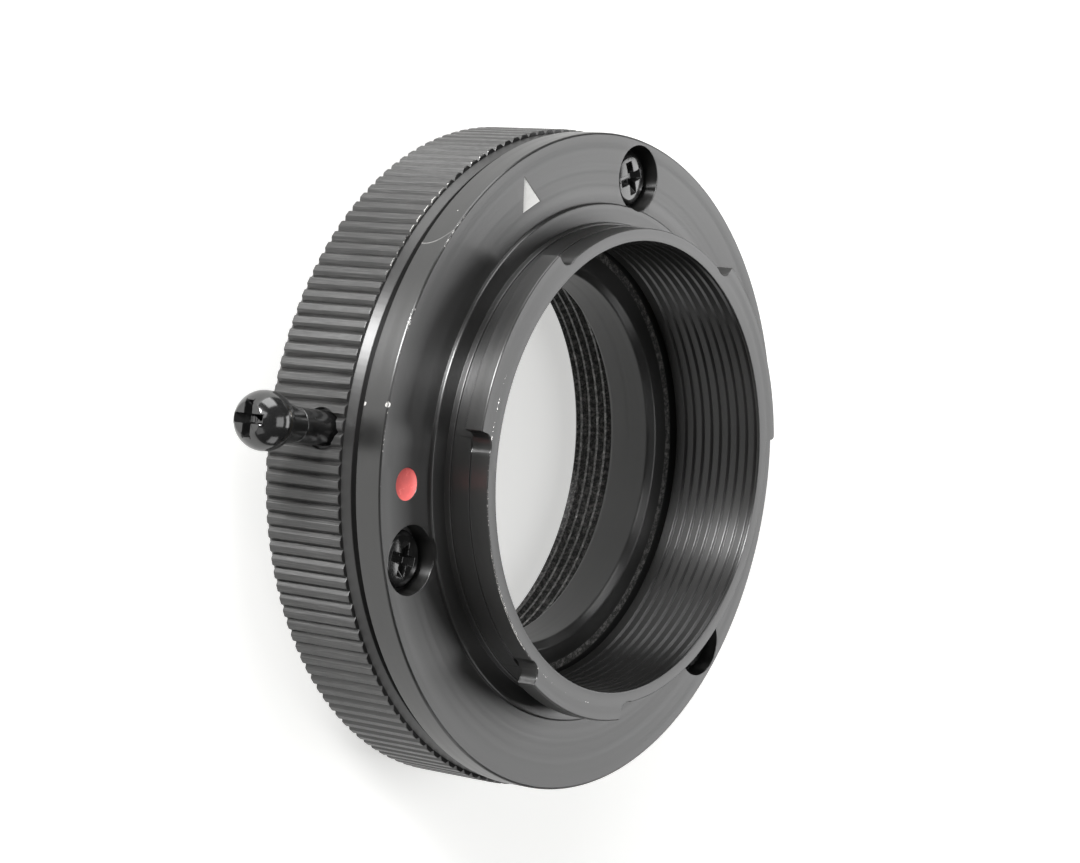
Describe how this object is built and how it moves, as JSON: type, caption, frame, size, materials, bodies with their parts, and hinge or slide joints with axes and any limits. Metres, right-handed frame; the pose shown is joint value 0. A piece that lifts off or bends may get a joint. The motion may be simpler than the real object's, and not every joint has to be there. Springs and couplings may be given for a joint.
{
  "type": "lens mount adapter",
  "caption": "Adapter ring that fastens a screw-thread lens to a bayonet camera mount, with a knurled focusing ring, a lever and a sliding inner barrel.",
  "frame": {"origin": "on the optical axis in the lens seat, the plane that the part stands on", "axes": "+Z along the optical axis towards the camera body, +X towards the middle of the first bayonet lug's side, away from the lever, +Y to the side that has the white mark"},
  "size_m": [0.0719, 0.0624, 0.0225],
  "materials": {
    "black_anodised": "satin black anodised, edges worn to small bright specks",
    "black_anodised_grip": "satin black anodised straight knurl, tooth ends worn light",
    "black_anodised_barrel": "matt black anodised, turned",
    "black_steel": "glossy black oxide",
    "bare_steel": "plain turned steel",
    "spring_steel": "drawn spring wire",
    "brass": "plain turned brass",
    "red_enamel": "red paint fill",
    "white_enamel": "white paint fill"
  },
  "bodies": {
    "mount": {"bayonet_mount": "black_anodised", "mount_screw_1": "black_steel", "mount_screw_2": "black_steel", "mount_screw_3": "black_steel", "index_dot": "red_enamel", "index_mark": "white_enamel", "shim_ring": "brass", "base_ring": "black_anodised", "guide_key_1": "brass", "guide_key_2": "brass", "key_screw_1": "bare_steel", "key_screw_2": "bare_steel", "key_screw_3": "bare_steel", "key_screw_4": "bare_steel", "snap_ring": "spring_steel", "stop_pin": "bare_steel"},
    "grip": {"focus_ring": "black_anodised_grip", "lever_post": "black_steel", "lever_screw": "black_steel"},
    "barrel": {"lens_barrel": "black_anodised_barrel"}
  },
  "joints": [
    {"name": "focus_turn", "type": "hinge", "parent": "mount", "child": "grip", "pos_m": [0, 0, 0.009], "axis": [0, 0, 1], "range_deg": [0, 270]},
    {"name": "barrel_slide", "type": "slide", "parent": "mount", "child": "barrel", "axis": [0, 0, -1], "range_m": [0, 0.0055]}
  ],
  "couplings": [
    {"joint": "barrel_slide", "follows": "focus_turn", "m_per_rad": 0.0011671}
  ]
}
